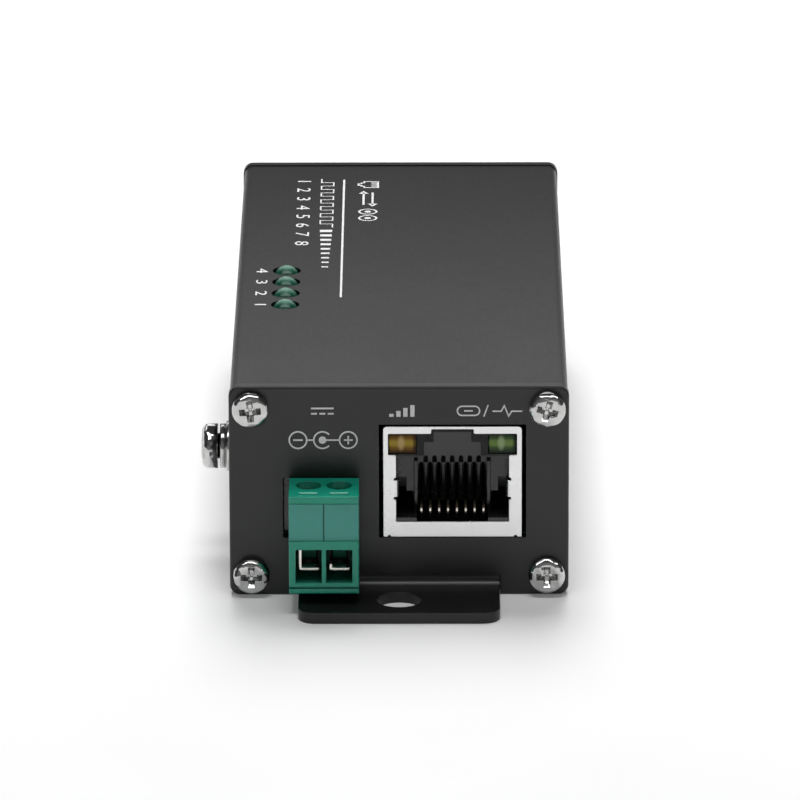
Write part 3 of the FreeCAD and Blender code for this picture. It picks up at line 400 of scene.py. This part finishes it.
def contact_plating():
    """Pale gold wires, painted dark as shade except a painted lit patch on each rounded nose."""
    material, g, shader, made = surface(
        "gold_contact", ((0.76, 0.72, 0.65, 1), (0.82, 0.78, 0.71, 1)), (0.14, 0.22),
        metallic=1.0, grain_height=0.000001, cloud=600.0)
    cells_aside = 20
    nose_full, nose_half = 0.05 * MM, 0.14 * MM
    foot_start, foot_full = jack_sill + 2.35 * MM, jack_sill + 2.55 * MM
    head_full, head_end = jack_sill + 2.90 * MM, jack_sill + 3.15 * MM
    unlit_shade_colour = (0.030, 0.025, 0.017, 1)
    # Painted shade and highlight: the wires are coloured dark but for a lit patch on each nose,
    # in place of their reflections.
    across, _, up = g.parts(g.place())
    row = g.math("SUBTRACT", across, middle("jack_contacts").x + cells_aside * CONTACT_PITCH)
    cell = g.math("MODULO", g.times(row, -1.0), CONTACT_PITCH)
    nose = g.span(g.aside(cell, CONTACT_PITCH / 2), nose_full, nose_half, 1.0, 0.0, smooth=True)
    nose = g.times(nose, g.span(up, head_full, head_end, 1.0, 0.0, smooth=True))
    nose = g.times(nose, g.span(up, foot_start, foot_full, smooth=True))
    g.feed(shader.inputs["Base Color"], g.blend(nose, unlit_shade_colour, made["colour"]))
    return material


def clamp_plating():
    """Plated steel clamp, with painted shade, darker and rougher, on the walls that sit deep in
    the terminal.
    """
    material, g, shader, made = surface(
        "clamp_plating", ((0.86, 0.81, 0.76, 1), (0.93, 0.88, 0.83, 1)), (0.16, 0.26),
        metallic=1.0, grain_height=0.000003, edge=0.00015, cloud=600.0)
    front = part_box("plug_clamp_left")[0].y
    deep_start, deep_full = front + 0.9 * MM, front + 1.5 * MM
    deep_shade_colour, deep_roughness = (0.07, 0.065, 0.06, 1), 0.2
    # Painted shade: walls further back than the front lip are given a dark colour where shade
    # falls.
    deep = g.span(g.parts(g.place())[1], deep_start, deep_full, smooth=True)
    g.feed(shader.inputs["Base Color"], g.blend(deep, made["colour"], deep_shade_colour))
    g.feed(shader.inputs["Roughness"],
           g.math("ADD", made["gloss"], g.times(deep, deep_roughness)))
    return material


def board_laminate():
    """Green solder mask with copper tracks showing faintly through it."""
    material, g, shader, made = surface(
        "board_laminate", ((0.004, 0.034, 0.016, 1), (0.006, 0.046, 0.021, 1)), (0.30, 0.40),
        grain_scale=3000.0, grain_height=0.000006, cloud=200.0)
    track_amount, track_colour = 0.7, (0.010, 0.080, 0.034, 1)
    brick = g.add("ShaderNodeTexBrick")
    g.feed(brick.inputs["Vector"], g.vector("MULTIPLY", g.place(), (1.0, 1.0, 0.0)))
    brick.inputs["Scale"].default_value = 420.0
    brick.inputs["Mortar Size"].default_value = 0.05
    tracks = g.times(brick.outputs["Fac"], track_amount)
    g.feed(shader.inputs["Base Color"], g.blend(tracks, made["colour"], track_colour))
    return material


def lamp_window(name, node, dark, body, highlight_band_colour, lens_glint_colour):
    """Tinted light guide: dark rim of painted shade, a painted highlight band, a painted lens
    glint at its centre.
    """
    material, g, shader, made = surface(name, (dark, dark), (0.12, 0.2), grain_scale=3000.0,
                                        grain_height=0.000002, edge=0.0002, cloud=400.0)
    shader.inputs["Specular IOR Level"].default_value = 0.15
    lens_shift = Vector((-0.15 * MM, 0.0, 0.1 * MM))
    clear_width, lens_squeeze, lens_glint_amount = 0.95, 2.4, 0.9
    low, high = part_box(node)
    half = (high - low) / 2
    across, _, up = g.parts(g.vector("SUBTRACT", g.place(), tuple(middle(node) + lens_shift)))
    aside = g.math("DIVIDE", g.math("ABSOLUTE", across), half.x * clear_width)
    above = g.math("DIVIDE", g.math("ABSOLUTE", up), half.z)
    # Painted shade: the tint fades to the dark rim at the edges.
    filled = g.times(g.span(above, 0.35, 0.95, 1.0, 0.0, smooth=True),
                     g.span(aside, 0.78, 0.98, 1.0, 0.1, smooth=True))
    # Painted highlight: a bright band across the middle.
    band = g.times(g.span(above, 0.12, 0.48, 1.0, 0.0, smooth=True),
                   g.span(aside, 0.80, 0.97, 1.0, 0.15, smooth=True))
    # Painted lens glint at the centre, a little off the middle.
    squeezed = g.times(aside, lens_squeeze)
    reach = g.math("ADD", g.times(squeezed, squeezed), g.times(above, above))
    lens = g.span(reach, -0.1, 0.75, lens_glint_amount, 0.0, smooth=True)
    colour = g.blend(filled, made["colour"], body)
    colour = g.blend(band, colour, highlight_band_colour)
    g.feed(shader.inputs["Base Color"], g.blend(lens, colour, lens_glint_colour))
    return material


def epoxy_dome():
    """Green tinted epoxy of the status lights, painted paler towards the crown as a highlight
    where light falls.
    """
    material, g, shader, made = surface(
        "green_epoxy", ((0.003, 0.085, 0.050, 1), (0.005, 0.105, 0.062, 1)), (0.26, 0.32),
        grain_scale=3000.0, grain_height=0.000002, edge=0.0001, cloud=800.0)
    crown_start, crown_full = top_z + 0.10 * MM, top_z + 0.66 * MM
    crown_highlight_colour = (0.120, 0.260, 0.195, 1)
    # Painted highlight: colour paler towards the crown.
    crown = g.span(g.parts(g.place())[2], crown_start, crown_full, smooth=True)
    g.feed(shader.inputs["Base Color"], g.blend(crown, made["colour"], crown_highlight_colour))
    return material


case_finish = anodised_case()
plate_finish = painted_plate()
nickel_finish = plain("bright_nickel", **NICKEL)
shield_finish = tinned_shield()
moulding_finish = black_moulding()
terminal_finish = terminal_plastic()
board_finish = board_laminate()
# Each window: rim shade, tint, painted highlight band, painted lens glint.
amber_finish = lamp_window("amber_window", "jack_lamp_amber", (0.036, 0.015, 0.002, 1),
                           (0.23, 0.115, 0.010, 1), (0.43, 0.30, 0.03, 1),
                           (0.66, 0.45, 0.20, 1))
green_finish = lamp_window("green_window", "jack_lamp_green", (0.010, 0.020, 0.012, 1),
                           (0.055, 0.095, 0.032, 1), (0.165, 0.27, 0.065, 1),
                           (0.36, 0.48, 0.25, 1))
dome_finish = epoxy_dome()
gold_finish = contact_plating()
pin_finish = plain("tinned_pin", ((0.76, 0.75, 0.73, 1), (0.86, 0.85, 0.83, 1)), (0.2, 0.3),
                   metallic=1.0, grain_height=0.000003, cloud=600.0)
clamp_finish = clamp_plating()
white_finish = plain("white_moulding", (grey(0.62), grey(0.70)), (0.40, 0.50),
                     grain_height=0.000006, cloud=300.0)
optic_finish = plain("optic_moulding", (grey(0.018), grey(0.026)), (0.35, 0.45),
                     grain_height=0.000006, rub=(0.00015, 0.2), rub_colour=grey(0.05),
                     cloud=200.0)
barrel_finish = plain("die_cast_zinc", ((0.58, 0.58, 0.57, 1), (0.70, 0.70, 0.69, 1)),
                      (0.28, 0.42), metallic=1.0, grain_scale=3500.0, grain_height=0.000006,
                      rub=(0.00015, 0.5), rub_colour=(0.85, 0.85, 0.84, 1), cloud=250.0)
ceramic_finish = plain("white_ceramic", (grey(0.74), grey(0.80)), (0.12, 0.2),
                       grain_height=0.000001, cloud=400.0)
chip_finish = plain("moulded_chip", (grey(0.020), grey(0.030)), (0.45, 0.6),
                    grain_scale=4000.0, grain_height=0.000008, cloud=300.0)
can_finish = plain("aluminium_can", ((0.74, 0.74, 0.75, 1), (0.82, 0.82, 0.83, 1)),
                   (0.22, 0.32), metallic=1.0, grain_height=0.000003, cloud=300.0)

finish_of = {
    "housing_shell": case_finish,
    "front_end_plate": plate_finish,
    "rear_end_plate": plate_finish,
    "front_plate_screws": nickel_finish,
    "rear_plate_screws": nickel_finish,
    "ground_screw": ground_screw_nickel(),
    "ground_spring_washer": washer_metal("ground_spring_washer"),
    "ground_flat_washer": washer_metal("ground_flat_washer"),
    "circuit_board": board_finish,
    "jack_shield": shield_finish,
    "jack_housing": moulding_finish,
    "jack_contacts": gold_finish,
    "jack_lamp_amber": amber_finish,
    "jack_lamp_green": green_finish,
    "power_header": moulding_finish,
    "power_header_pins": pin_finish,
    "plug_body": terminal_finish,
    "plug_contacts": pin_finish,
    "plug_screw_left": nickel_finish,
    "plug_screw_right": nickel_finish,
    "plug_clamp_left": clamp_finish,
    "plug_clamp_right": clamp_finish,
    "status_light_leads": pin_finish,
    "light_spacer": white_finish,
    "optical_module": optic_finish,
    "optical_module_pins": pin_finish,
    "fibre_barrel_transmit": barrel_finish,
    "fibre_barrel_receive": barrel_finish,
    "ferrule_sleeve_transmit": ceramic_finish,
    "ferrule_sleeve_receive": ceramic_finish,
    "network_transformer": chip_finish,
    "converter_chip": chip_finish,
    "regulator_chip": chip_finish,
    "crystal_can": can_finish,
    "power_inductor": chip_finish,
    "input_diode": chip_finish,
    "input_capacitor": can_finish,
    "output_capacitor": can_finish,
}
for name in light_names:
    finish_of[name] = dome_finish
for name, finish in finish_of.items():
    for slot in nodes[name].material_slots:
        slot.material = finish


# ---- printed marks ------------------------------------------------------------------
INK_DEPTH = 0.018 * MM
INK_SUNK = 0.004 * MM
RING_STEP = 7.5
LEAST_RING_STEPS = 8
DISC_STEPS = 32


class Print:
    """Flat printed shapes on one face, laid out in millimetres across and up from an origin."""

    def __init__(self, origin, across, up):
        self.points = []
        self.faces = []
        self.origin = Vector(origin)
        self.across = Vector(across)
        self.up = Vector(up)
        self.out = self.across.cross(self.up)

    def point(self, u, v):
        self.points.append((u, v))
        return len(self.points) - 1

    def face(self, corners):
        """Adds a face between points, in the order that makes it look outward."""
        flat = [self.points[i] for i in corners]
        area = sum(a[0] * b[1] - b[0] * a[1] for a, b in zip(flat, flat[1:] + flat[:1]))
        self.faces.append(corners if area > 0 else corners[::-1])

    def patch(self, points):
        self.face([self.point(u, v) for u, v in points])

    def bar(self, u0, u1, v0, v1):
        self.patch([(u0, v0), (u1, v0), (u1, v1), (u0, v1)])

    def line(self, points, width):
        """Stroke of even width along straight runs, mitred at its corners."""
        sides = []
        for i, p in enumerate(points):
            before = Vector(p) - Vector(points[max(i - 1, 0)])
            after = Vector(points[min(i + 1, len(points) - 1)]) - Vector(p)
            before = before.normalized() if before.length else after.normalized()
            after = after.normalized() if after.length else before
            along = (before + after).normalized()
            square = Vector((-along.y, along.x))
            reach = width / 2 / max(along.dot(before), 0.5)
            sides.append((Vector(p) + square * reach, Vector(p) - square * reach))
        corners = [(self.point(*a), self.point(*b)) for a, b in sides]
        for (a, b), (c, d) in zip(corners, corners[1:]):
            self.face([a, b, d, c])

    def ring(self, u, v, r, width, start=0.0, end=360.0):
        """Ring, or an open part of one between two angles in degrees."""
        turn = end - start
        steps = max(LEAST_RING_STEPS, int(turn / RING_STEP))
        whole = turn == 360.0
        angles = [math.radians(start + turn * i / steps)
                  for i in range(steps if whole else steps + 1)]

        def circle(radius):
            return [self.point(u + radius * math.cos(a), v + radius * math.sin(a))
                    for a in angles]

        inner = circle(r - width / 2)
        outer = circle(r + width / 2)
        for i in range(steps):
            j = (i + 1) % len(angles)
            self.face([inner[i], outer[i], outer[j], inner[j]])

    def disc(self, u, v, r):
        angles = [math.tau * i / DISC_STEPS for i in range(DISC_STEPS)]
        self.patch([(u + r * math.cos(a), v + r * math.sin(a)) for a in angles])

    def digits(self, text, u, v, height, squeeze):
        """Plain digits, centred on (u, v). squeeze widens or narrows them."""
        curve = bpy.data.curves.new("digits", "FONT")
        curve.body = text
        curve.resolution_u = 4
        holder = bpy.data.objects.new("digits", curve)
        scene.collection.objects.link(holder)
        bpy.context.view_layer.update()
        view = bpy.context.evaluated_depsgraph_get()
        flat = bpy.data.meshes.new_from_object(holder.evaluated_get(view))
        xs = [p.co.x for p in flat.vertices]
        ys = [p.co.y for p in flat.vertices]
        size = height / (max(ys) - min(ys))
        mid_x, mid_y = (max(xs) + min(xs)) / 2, (max(ys) + min(ys)) / 2
        points = [self.point(u + (p.co.x - mid_x) * size * squeeze, v + (p.co.y - mid_y) * size)
                  for p in flat.vertices]
        self.faces += [[points[i] for i in polygon.vertices] for polygon in flat.polygons]
        bpy.data.objects.remove(holder)
        bpy.data.meshes.remove(flat)
        bpy.data.curves.remove(curve)

    def finish(self, name, body, material):
        """Gives the ink its thickness and makes the piece."""
        foot = [self.origin + (self.across * u + self.up * v) * MM - self.out * INK_SUNK
                for u, v in self.points]
        head = [point + self.out * (INK_DEPTH + INK_SUNK) for point in foot]
        lift = len(foot)
        runs = [run for face in self.faces for run in zip(face, face[1:] + face[:1])]
        shared = set(runs)
        walls = [[a, b, b + lift, a + lift] for a, b in runs if (b, a) not in shared]
        soles = [face[::-1] for face in self.faces]
        tops = [[i + lift for i in face] for face in self.faces]
        mesh = bpy.data.meshes.new(name)
        mesh.from_pydata(foot + head, [], soles + tops + walls)
        mesh.materials.append(material)
        piece = bpy.data.objects.new(name, mesh)
        scene.collection.objects.link(piece)
        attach(piece, body)


def ink(name, colours):
    return plain(name, colours, (0.5, 0.6), grain_scale=5000.0, grain_height=0.000005,
                 edge=0.00001, cloud=900.0)


front_ink = ink("front_ink", (grey(0.72), grey(0.80)))
top_ink = ink("top_ink", (grey(0.78), grey(0.86)))


# Marks on the front, each drawn about its own middle (u, v).
def direct_current_mark(sheet, u, v):
    """A bar above three short dashes."""
    half, near, far = 1.3, 0.22, 0.42
    pitch, dash = 0.96, 0.68
    sheet.bar(u - half, u + half, v + near, v + far)
    for i in range(3):
        left = u - half + i * pitch
        sheet.bar(left, left + dash, v - far, v - near)


def polarity_marks(sheet, u, v):
    """Power symbols: minus ring, open ring round a dot, plus ring, joined by lines."""
    radius, width, reach, shift = 1.0, 0.18, 2.88, 0.07
    minus_half, plus_half = 0.55, 0.5
    dot, dot_edge = 0.44, 0.42
    opening = 42.0
    minus, plus = u - reach + shift, u + reach + shift
    low, high = v - width / 2, v + width / 2
    sheet.ring(minus, v, radius, width)
    sheet.ring(plus, v, radius, width)
    sheet.ring(u, v, radius, width, opening, 360.0 - opening)
    sheet.disc(u, v, dot)
    sheet.bar(minus - minus_half, minus + minus_half, low, high)
    sheet.bar(plus - plus_half, plus + plus_half, low, high)
    sheet.bar(plus - width / 2, plus + width / 2, v - plus_half, v + plus_half)
    sheet.bar(minus + radius, u - radius, low, high)
    sheet.bar(u + dot_edge, plus - radius, low, high)


def speed_mark(sheet, u, v):
    """Four bars that grow to the right."""
    first, pitch, width, foot, rise = 1.5, 0.8, 0.5, 0.7, 0.35
    for i in range(4):
        left = u - first + i * pitch
        sheet.bar(left, left + width, v - foot, v - foot + rise * (i + 1))


def link_mark(sheet, u, v):
    """Two joined chain links."""
    aside, radius, width = 0.72, 0.55, 0.17
    rail_near, rail_far = 0.465, 0.635
    joint_length, joint_width = 0.5, 0.085
    for side, start, end in ((-1, 90.0, 270.0), (1, -90.0, 90.0)):
        centre = side * aside
        left, right = u + min(centre, 0), u + max(centre, 0)
        sheet.ring(u + centre, v, radius, width, start, end)
        sheet.bar(left, right, v + rail_near, v + rail_far)
        sheet.bar(left, right, v - rail_far, v - rail_near)
    sheet.bar(u - joint_length, u + joint_length, v - joint_width, v + joint_width)


def pulse_mark(sheet, u, v):
    """A signal trace with one sharp beat."""
    trace = [(-1.7, -0.05), (-0.7, -0.05), (-0.35, 0.62), (0.15, -0.66), (0.5, -0.05),
             (1.7, -0.05)]
    sheet.line([(u + a, v + b) for a, b in trace], 0.17)


def print_front():
    sheet = Print((0.0, front_y, plate_top), (1, 0, 0), (0, 0, 1))
    upper_row, lower_row = -2.9, -6.4
    plug = plug_mid.x / MM - 0.17
    amber = middle("jack_lamp_amber").x / MM
    green = middle("jack_lamp_green").x / MM
    direct_current_mark(sheet, plug, upper_row)
    polarity_marks(sheet, plug, lower_row)
    speed_mark(sheet, amber, upper_row)
    link_mark(sheet, green - 3.9, upper_row)
    slash_half = 0.7
    sheet.line([(green - 2.15, upper_row - slash_half), (green - 1.65, upper_row + slash_half)],
               0.15)
    pulse_mark(sheet, green + 0.55, upper_row)
    sheet.finish("front_marks", "case", front_ink)


# Marks on the lid.
def socket_mark(sheet, u, v):
    """Outline of a network socket with its contacts."""
    outline = [(-1.3, 1.2), (-1.3, -0.5), (-0.7, -0.5), (-0.7, -0.85), (-0.35, -0.85),
               (-0.35, -1.2), (0.35, -1.2), (0.35, -0.85), (0.7, -0.85), (0.7, -0.5),
               (1.3, -0.5), (1.3, 1.2), (-1.4, 1.2)]
    sheet.line([(u + a, v + b) for a, b in outline], 0.22)
    pitch, left, right, foot, head = 0.35, 0.95, 0.8, 0.35, 1.1
    for i in range(6):
        sheet.bar(u - left + i * pitch, u - right + i * pitch, v + foot, v + head)


def arrows_mark(sheet, u, v):
    """Arrows both ways."""
    apart, half, shaft_width = 0.55, 2.6, 0.13
    tip_reach, barb_length, barb_width = 3.3, 1.2, 0.6
    for side in (-1, 1):
        level = v + side * apart
        sheet.bar(u - half, u + half, level - shaft_width, level + shaft_width)
        tip = u + side * tip_reach
        barb = tip - side * barb_length
        corners = [(tip, level), (barb, level + barb_width), (barb, level - barb_width)]
        sheet.patch(corners[::side])


def fibre_mark(sheet, u, v):
    """Two fibre ends side by side."""
    aside, radius, width, core = 1.35, 1.05, 0.24, 0.4
    for side in (-1, 1):
        sheet.ring(u + side * aside, v, radius, width)
        sheet.disc(u + side * aside, v, core)


def wave_mark(sheet, u0, u1, v):
    """Square wave that turns into light pulses."""
    step, half, width = 1.45, 0.75, 0.17
    count, gap, pulse, shrink = 9, 1.0, 0.9, 0.06
    points = [(u0, v - half)]
    u = u0
    level = -half
    while u < (u0 + u1) / 2 - step:
        u += step
        points += [(u, v + level), (u, v - level)]
        level = -level
    points.append((u + step, v + level))
    sheet.line(points, width)
    start = u + step + gap
    for i in range(count):
        left = start + (u1 - start) * i / count
        tall = half * (1 - shrink * i)
        sheet.bar(left, left + pulse - shrink * i, v - tall, v + tall)


def print_top():
    """Marks on the lid, read from the right-hand side: across runs to the front."""
    sheet = Print((0.0, front_y, top_z), (0, -1, 0), (1, 0, 0))
    line_low, line_high = -7.06, -6.81
    symbol_row, wave_row = -3.94, -8.95
    figure_row, figure_height, figure_width, figure_pitch = -11.83, 1.65, 1.5, 3.7
    light_row, light_height, light_width = -16.38, 1.35, 1.9
    sheet.bar(-82.7, -34.5, line_low, line_high)
    socket_mark(sheet, -80.6, symbol_row)
    arrows_mark(sheet, -74.6, symbol_row)
    fibre_mark(sheet, -67.8, symbol_row)
    wave_mark(sheet, -82.9, -44.9, wave_row)
    for i in range(8):
        sheet.digits(str(i + 1), -82.0 + i * figure_pitch, figure_row, figure_height,
                     figure_width)
    for i, name in enumerate(light_names):
        at = (front_y - middle(name).y) / MM
        sheet.digits(str(i + 1), at, light_row, light_height, light_width)
    sheet.finish("top_marks", "case", top_ink)


print_front()
print_top()


# ---- floor, light and camera -----------------------------------------------------------
def make_floor():
    """Pale floor, lifted towards white for what looks at it but not for the light it sheds."""
    half_size, lift_strength = 4.0, 0.10
    mesh = bpy.data.meshes.new("floor")
    bm = bmesh.new()
    bmesh.ops.create_grid(bm, x_segments=8, y_segments=8, size=half_size)
    bm.to_mesh(mesh)
    bm.free()
    floor = bpy.data.objects.new("floor", mesh)
    scene.collection.objects.link(floor)
    material = bpy.data.materials.new("pale_floor")
    material.use_nodes = True
    material.node_tree.nodes.clear()
    g = Graph(material.node_tree)
    diffuse = g.add("ShaderNodeBsdfDiffuse")
    tone = g.span(g.noise(g.place(), 30.0), 0.3, 0.7)
    g.feed(diffuse.inputs["Color"], g.blend(tone, grey(0.80), grey(0.82)))
    lift = g.add("ShaderNodeEmission")
    paths = g.add("ShaderNodeLightPath").outputs
    seen = g.math("MAXIMUM", paths["Is Camera Ray"], paths["Is Transmission Ray"])
    seen = g.math("MAXIMUM", seen, paths["Is Glossy Ray"])
    g.feed(lift.inputs["Strength"], g.times(seen, lift_strength))
    both = g.add("ShaderNodeAddShader")
    g.feed(both.inputs[0], diffuse.outputs[0])
    g.feed(both.inputs[1], lift.outputs[0])
    g.feed(g.add("ShaderNodeOutputMaterial").inputs["Surface"], both.outputs[0])
    mesh.materials.append(material)


def make_world():
    """Dim room, paler low down behind and in front; plain white where the camera sees it."""
    room, behind_level, ahead_level = 0.06, 0.19, 0.20
    world = bpy.data.worlds.new("studio")
    scene.world = world
    world.use_nodes = True
    world.node_tree.nodes.clear()
    g = Graph(world.node_tree)
    _, back, height = g.parts(g.direction())
    low = g.span(height, 0.35, 0.8, 1.0, 0.0, smooth=True)
    behind = g.span(back, 0.2, 0.9, 0.0, behind_level, smooth=True)
    ahead = g.span(back, -0.9, -0.2, ahead_level, 0.0, smooth=True)
    wall = g.math("ADD", g.times(low, g.math("ADD", behind, ahead)), room)
    level = g.math("MAXIMUM", wall, g.add("ShaderNodeLightPath").outputs["Is Camera Ray"])
    background = g.add("ShaderNodeBackground")
    g.feed(background.inputs["Strength"], level)
    g.feed(g.add("ShaderNodeOutputWorld").inputs["Surface"], background.outputs[0])


def soft_box(name, place, target, size, power, diffuse=True, glossy=True):
    """Area light, aimed at a target, that the camera doesn't see."""
    light = bpy.data.lights.new(name, "AREA")
    light.shape = "RECTANGLE"
    light.size, light.size_y = size
    light.energy = power
    lamp = bpy.data.objects.new(name, light)
    scene.collection.objects.link(lamp)
    lamp.location = place
    aim = Vector(target) - Vector(place)
    lamp.rotation_euler = aim.to_track_quat("-Z", "Y").to_euler()
    lamp.visible_diffuse = diffuse
    lamp.visible_glossy = glossy
    lamp.visible_camera = False


def make_lights():
    """Two soft boxes light the room, and two panels are seen only in reflections."""
    centre = (0.0, 0.0, 0.0)
    soft_box("overhead_strip", place=(0.0, 1.84, 2.10), target=(0.0, 1.84, 0.0),
             size=(0.90, 2.78), power=89.0, glossy=False)
    soft_box("front_fill", place=(0.0, -0.35, 1.97), target=centre,
             size=(0.90, 0.60), power=12.3, glossy=False)
    soft_box("overhead_panel", place=(0.0, -0.25, 0.70), target=centre,
             size=(1.10, 0.22), power=3.3, diffuse=False)
    soft_box("back_panel", place=(0.0, 0.12, 0.110), target=(0.0, -0.03, 0.025),
             size=(0.30, 0.045), power=0.064, diffuse=False)


def make_camera():
    """Long lens, a little above the front of the box."""
    place = Vector((0.0030185, -0.9697860, 0.3277810))
    tilt, roll, turn = 0.317755, -0.0026214, -0.0031103
    level = Vector((math.sin(turn), math.cos(turn), 0.0))
    right = Vector((math.cos(turn), -math.sin(turn), 0.0))
    upright = Vector((0.0, 0.0, 1.0))
    forward = level * math.cos(tilt) - upright * math.sin(tilt)
    up = level * math.sin(tilt) + upright * math.cos(tilt)
    side = right * math.cos(roll) + up * math.sin(roll)
    top = up * math.cos(roll) - right * math.sin(roll)
    data = bpy.data.cameras.new("camera")
    data.sensor_width = 36.0
    data.lens = 382.97
    data.clip_start = 0.01
    data.clip_end = 20.0
    camera = bpy.data.objects.new("camera", data)
    scene.collection.objects.link(camera)
    camera.matrix_world = Matrix((
        (side.x, top.x, -forward.x, place.x),
        (side.y, top.y, -forward.y, place.y),
        (side.z, top.z, -forward.z, place.z),
        (0.0, 0.0, 0.0, 1.0),
    ))
    scene.camera = camera


make_floor()
make_world()
make_lights()
make_camera()
scene.view_settings.view_transform = "Standard"
